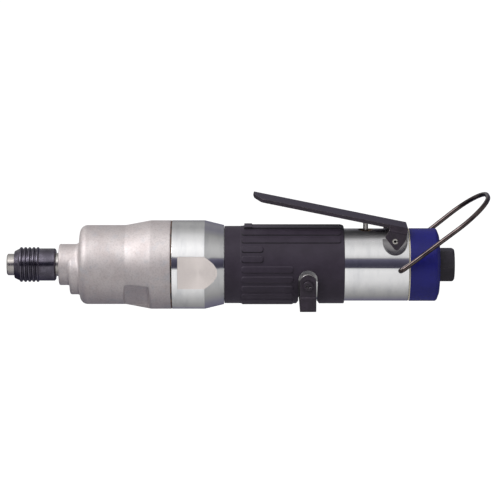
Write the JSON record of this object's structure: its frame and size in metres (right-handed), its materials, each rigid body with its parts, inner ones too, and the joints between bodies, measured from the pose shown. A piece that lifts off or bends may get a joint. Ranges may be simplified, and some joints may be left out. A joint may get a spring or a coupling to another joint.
{
  "type": "inline pulse tool",
  "caption": "Inline air pulse tool with a quick-change bit chuck, ribbed rubber grip, long throttle lever, push-across reverse yoke and a wire hanging bail.",
  "frame": {"origin": "mouth of the bit socket, on the tool's axis, at the front face of the spindle nose", "axes": "+X runs back along the tool's axis to the air inlet, +Z is the throttle lever's side, and +Y is to the right of someone who holds the tool and looks along it to the bit"},
  "size_m": [0.2502, 0.0501, 0.0604],
  "materials": {
    "cast_alloy": "blasted",
    "polished_alloy": "polished",
    "grip_rubber": "matte",
    "black_steel": "satin black",
    "bright_steel": "ground",
    "spring_steel": "oiled",
    "bronze": "turned",
    "blue_plastic": "satin",
    "cream_gasket": "matte",
    "brown_seal": "matte",
    "seal_rubber": "matte",
    "iron": "ground",
    "vane_resin": "matte",
    "felt": "matted"
  },
  "bodies": {
    "housing": {"front_housing": "cast_alloy", "nose_seal": "seal_rubber", "nose_bush": "bronze", "seam_ring": "brown_seal", "motor_housing": "polished_alloy", "motor_lock_ring": "bright_steel", "motor_front_plate": "iron", "motor_front_bearing": "bright_steel", "motor_cylinder": "iron", "motor_rear_plate": "iron", "motor_rear_bearing": "bright_steel", "grip": "grip_rubber", "lever_pin": "black_steel", "throttle_bush": "bronze", "throttle_spring": "spring_steel", "end_gasket": "cream_gasket", "exhaust_cap": "blue_plastic", "silencer": "felt", "inlet_bush": "black_steel", "inlet_strainer": "bright_steel"},
    "spindle": {"spindle": "bright_steel", "snap_ring": "spring_steel", "spring_washer": "spring_steel", "chuck_spring": "spring_steel", "pulse_blades": "bright_steel", "blade_springs": "spring_steel"},
    "sleeve": {"chuck_sleeve": "black_steel"},
    "ball": {"lock_ball": "bright_steel"},
    "motor": {"rotor": "bright_steel", "rotor_vanes": "vane_resin", "pulse_case": "bright_steel", "pulse_front_plate": "bright_steel", "pulse_liner": "bright_steel", "pulse_back_plate": "bright_steel", "pulse_case_cap": "bright_steel", "relief_screw": "black_steel"},
    "lever": {"throttle_lever": "black_steel"},
    "stem": {"throttle_stem": "bright_steel", "valve_seal_ring": "seal_rubber"},
    "reverse": {"reverse_yoke": "black_steel", "reverse_spool": "bright_steel", "spool_seals": "seal_rubber", "yoke_screws": "black_steel"},
    "bail": {"bail": "black_steel"}
  },
  "joints": [
    {"name": "lever_hinge", "type": "hinge", "parent": "housing", "child": "lever", "pos_m": [0.20085, 0, 0.01455], "axis": [0, -1, 0], "range_deg": [0, 10], "stiffness_Nm_per_rad": 0.5, "springref_deg": -11.46},
    {"name": "stem_slide", "type": "slide", "parent": "housing", "child": "stem", "axis": [0, 0, -1], "range_m": [0, 0.0029], "deforming": ["throttle_spring"]},
    {"name": "reverse_slide", "type": "slide", "parent": "housing", "child": "reverse", "axis": [0, 1, 0], "range_m": [0, 0.0033]},
    {"name": "spindle_spin", "type": "hinge", "parent": "housing", "child": "spindle", "pos_m": [0, 0, 0], "axis": [1, 0, 0], "continuous": true},
    {"name": "sleeve_slide", "type": "slide", "parent": "spindle", "child": "sleeve", "axis": [-1, 0, 0], "range_m": [0, 0.003], "stiffness_N_per_m": 900, "springref_m": -0.003, "deforming": ["chuck_spring"]},
    {"name": "ball_slide", "type": "slide", "parent": "spindle", "child": "ball", "axis": [0, 0, 1], "range_m": [0, 0.00075]},
    {"name": "motor_spin", "type": "hinge", "parent": "housing", "child": "motor", "pos_m": [0.1, 0, 0], "axis": [1, 0, 0], "continuous": true},
    {"name": "bail_hinge", "type": "hinge", "parent": "housing", "child": "bail", "pos_m": [0.2036, 0, 0.00056], "axis": [0, -1, 0], "range_deg": [-177, 103]}
  ],
  "couplings": [
    {"joint": "stem_slide", "follows": "lever_hinge", "m_per_rad": 0.016},
    {"joint": "ball_slide", "follows": "sleeve_slide", "ratio": 0.25}
  ]
}
